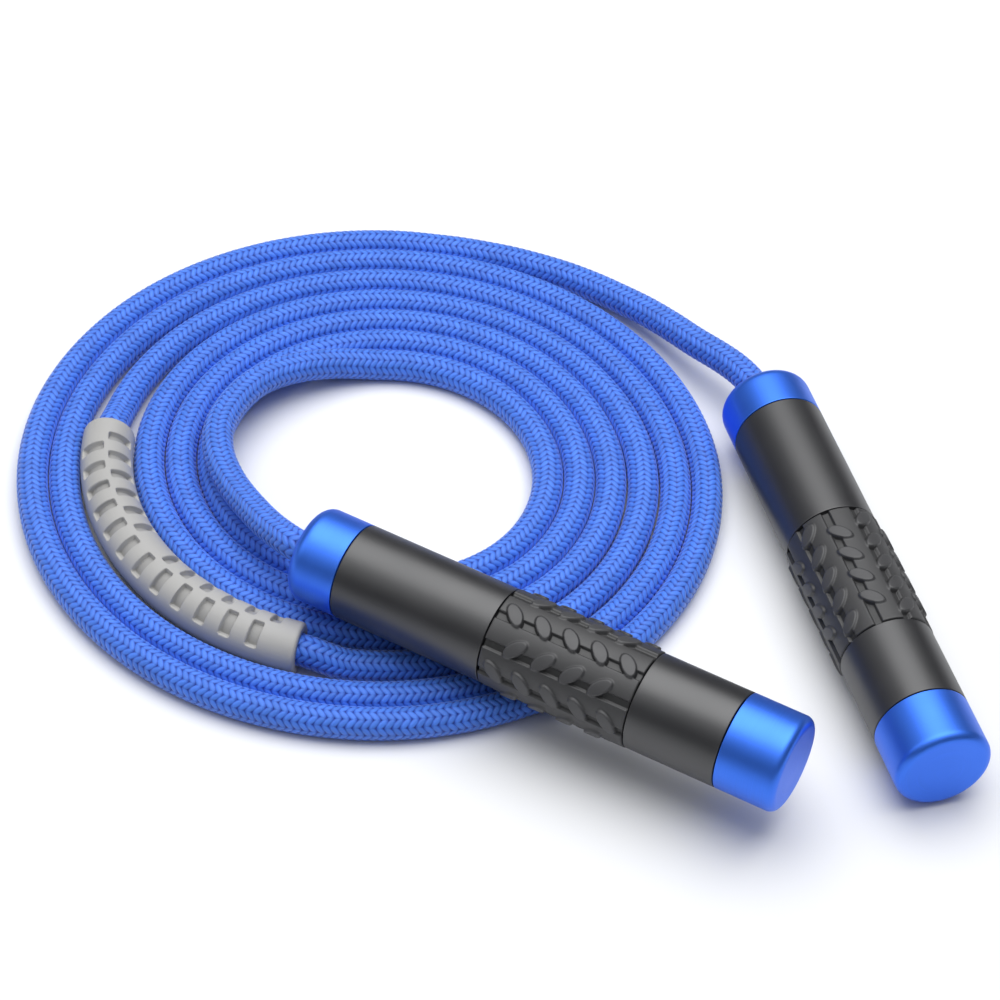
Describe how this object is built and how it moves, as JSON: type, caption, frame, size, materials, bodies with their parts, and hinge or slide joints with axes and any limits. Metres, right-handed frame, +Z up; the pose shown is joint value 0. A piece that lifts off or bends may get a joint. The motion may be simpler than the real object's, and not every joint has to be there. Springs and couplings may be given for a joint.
{
  "type": "jump rope",
  "caption": "Boxing jump rope: thick blue braided rope coiled flat, with a slotted wear sleeve and black ball-bearing handles with blue metal caps and rubber grips.",
  "frame": {"origin": "on the floor, under the middle of the box round both handles", "axes": "+Z up from the floor that the coil lies on; +X to the right, from the coil to the second handle; -Y towards the viewer and the handles' butts"},
  "size_m": [0.2834, 0.244, 0.0399],
  "materials": {
    "rope_fibre": "braided polyester, matte",
    "sleeve_plastic": "matte",
    "blue_anodised": "satin, blue anodised",
    "black_coat": "satin, black",
    "grip_rubber": "matte",
    "polished_steel": "polished",
    "plain_steel": "brushed",
    "cage_plastic": "moulded nylon",
    "damper_foam": "soft foam rubber"
  },
  "bodies": {
    "rope": {"rope_coil": "rope_fibre", "rope_tail_a": "rope_fibre", "rope_tail_b": "rope_fibre", "rope_under_sleeve": "rope_fibre", "wear_sleeve": "sleeve_plastic", "spindle_a": "polished_steel", "rope_exit_collar_a": "polished_steel", "bearing_inner_race_a": "polished_steel", "rope_stopper_a": "plain_steel", "stopper_screw_a": "plain_steel", "spindle_b": "polished_steel", "rope_exit_collar_b": "polished_steel", "bearing_inner_race_b": "polished_steel", "rope_stopper_b": "plain_steel", "stopper_screw_b": "plain_steel"},
    "handle_a": {"front_cap_a": "blue_anodised", "handle_tube_a": "black_coat", "rubber_grip_a": "grip_rubber", "end_cap_a": "blue_anodised", "end_cap_o_ring_a": "grip_rubber", "front_damper_a": "damper_foam", "weight_bar_a": "plain_steel", "rear_damper_a": "damper_foam", "bearing_outer_race_a": "polished_steel", "bearing_retaining_ring_a": "plain_steel"},
    "ball_cage_a": {"bearing_cage_a": "cage_plastic", "bearing_ball_1_a": "polished_steel", "bearing_ball_2_a": "polished_steel", "bearing_ball_3_a": "polished_steel", "bearing_ball_4_a": "polished_steel", "bearing_ball_5_a": "polished_steel", "bearing_ball_6_a": "polished_steel", "bearing_ball_7_a": "polished_steel"},
    "handle_b": {"front_cap_b": "blue_anodised", "handle_tube_b": "black_coat", "rubber_grip_b": "grip_rubber", "end_cap_b": "blue_anodised", "end_cap_o_ring_b": "grip_rubber", "front_damper_b": "damper_foam", "weight_bar_b": "plain_steel", "rear_damper_b": "damper_foam", "bearing_outer_race_b": "polished_steel", "bearing_retaining_ring_b": "plain_steel"},
    "ball_cage_b": {"bearing_cage_b": "cage_plastic", "bearing_ball_1_b": "polished_steel", "bearing_ball_2_b": "polished_steel", "bearing_ball_3_b": "polished_steel", "bearing_ball_4_b": "polished_steel", "bearing_ball_5_b": "polished_steel", "bearing_ball_6_b": "polished_steel", "bearing_ball_7_b": "polished_steel"}
  },
  "joints": [
    {"name": "handle_a_spin", "type": "hinge", "parent": "rope", "child": "handle_a", "pos_m": [-0.09365, -0.00605, 0.0247], "axis": [0.8969, -0.4421, 0], "continuous": true},
    {"name": "ball_cage_a_spin", "type": "hinge", "parent": "rope", "child": "ball_cage_a", "pos_m": [-0.09365, -0.00605, 0.0247], "axis": [0.8969, -0.4421, 0], "continuous": true},
    {"name": "handle_b_spin", "type": "hinge", "parent": "rope", "child": "handle_b", "pos_m": [0.03665, 0.08185, 0.0152], "axis": [0.3223, -0.9466, 0], "continuous": true},
    {"name": "ball_cage_b_spin", "type": "hinge", "parent": "rope", "child": "ball_cage_b", "pos_m": [0.03665, 0.08185, 0.0152], "axis": [0.3223, -0.9466, 0], "continuous": true}
  ],
  "couplings": [
    {"joint": "ball_cage_a_spin", "follows": "handle_a_spin", "ratio": 0.57303},
    {"joint": "ball_cage_b_spin", "follows": "handle_b_spin", "ratio": 0.57303}
  ]
}
